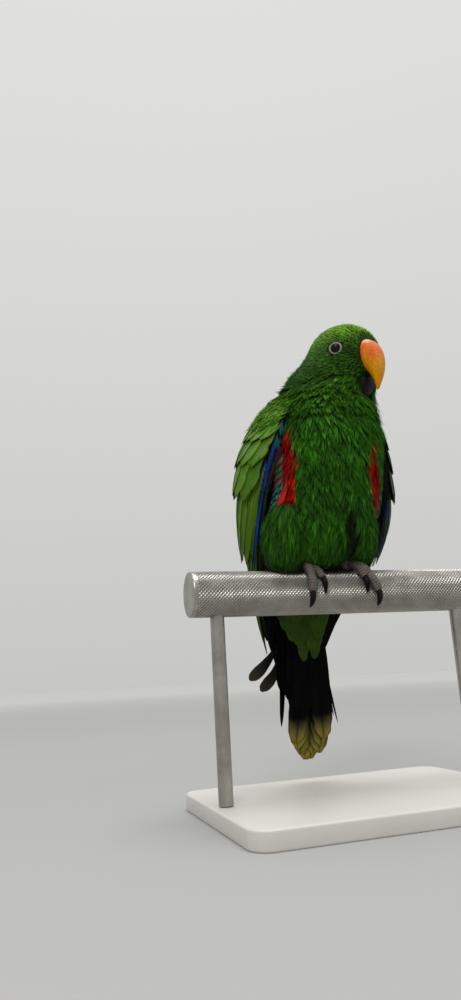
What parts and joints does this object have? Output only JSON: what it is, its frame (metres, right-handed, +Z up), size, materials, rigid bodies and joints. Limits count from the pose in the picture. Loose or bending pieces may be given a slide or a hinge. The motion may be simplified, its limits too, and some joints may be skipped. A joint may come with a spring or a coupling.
{
  "type": "eclectus parrot",
  "caption": "Still life-size green parrot with an orange bill, upright on a cut length of round bar, wings slightly open and tail hanging, held on a flat base by two short rods.",
  "frame": {"origin": "middle of the stand base's underside, below the middle of the bar", "axes": "+Z up, the bar runs along X, the bird's body faces -Y and its right side is -X"},
  "size_m": [0.236, 0.164, 0.3663],
  "materials": {
    "plumage_green": "soft loose green feathers with darker gaps",
    "plumage_body": "soft green feathers with red patches on the flanks",
    "plumage_wing": "smooth vaned feathers, green with blue and turquoise front edges and near-black flight feathers",
    "plumage_tail": "smooth near-black vaned feathers with dull yellow tips",
    "bill_orange": "satin horn, orange fading to yellow at the tip",
    "bill_black": "satin black horn",
    "eye": "wet, glossy",
    "eyelid": "fine grey-pink bare skin",
    "foot_skin": "grey-brown scaly skin",
    "claw": "satin black horn",
    "knurled_steel": "fine diamond knurl, worn bright",
    "stand_steel": "fine brushed",
    "stand_paint": "board in pale warm grey satin paint"
  },
  "bodies": {
    "root": {"head": "plumage_green", "neck": "plumage_green", "torso": "plumage_body", "bill_upper": "bill_orange", "bill_lower": "bill_black", "eye_right": "eye", "eye_left": "eye", "lid_right": "eyelid", "lid_left": "eyelid", "wing_right": "plumage_wing", "wing_left": "plumage_wing", "tail": "plumage_tail", "undertail_coverts": "plumage_green", "thigh_right": "plumage_green", "thigh_left": "plumage_green", "foot_right": "foot_skin", "foot_left": "foot_skin", "claw_right_outerFront": "claw", "claw_right_innerFront": "claw", "claw_right_outerBack": "claw", "claw_right_innerBack": "claw", "claw_left_outerFront": "claw", "claw_left_innerFront": "claw", "claw_left_outerBack": "claw", "claw_left_innerBack": "claw", "perch": "knurled_steel", "stand_rod_right": "stand_steel", "stand_rod_left": "stand_steel", "stand_base": "stand_paint"}
  },
  "joints": []
}
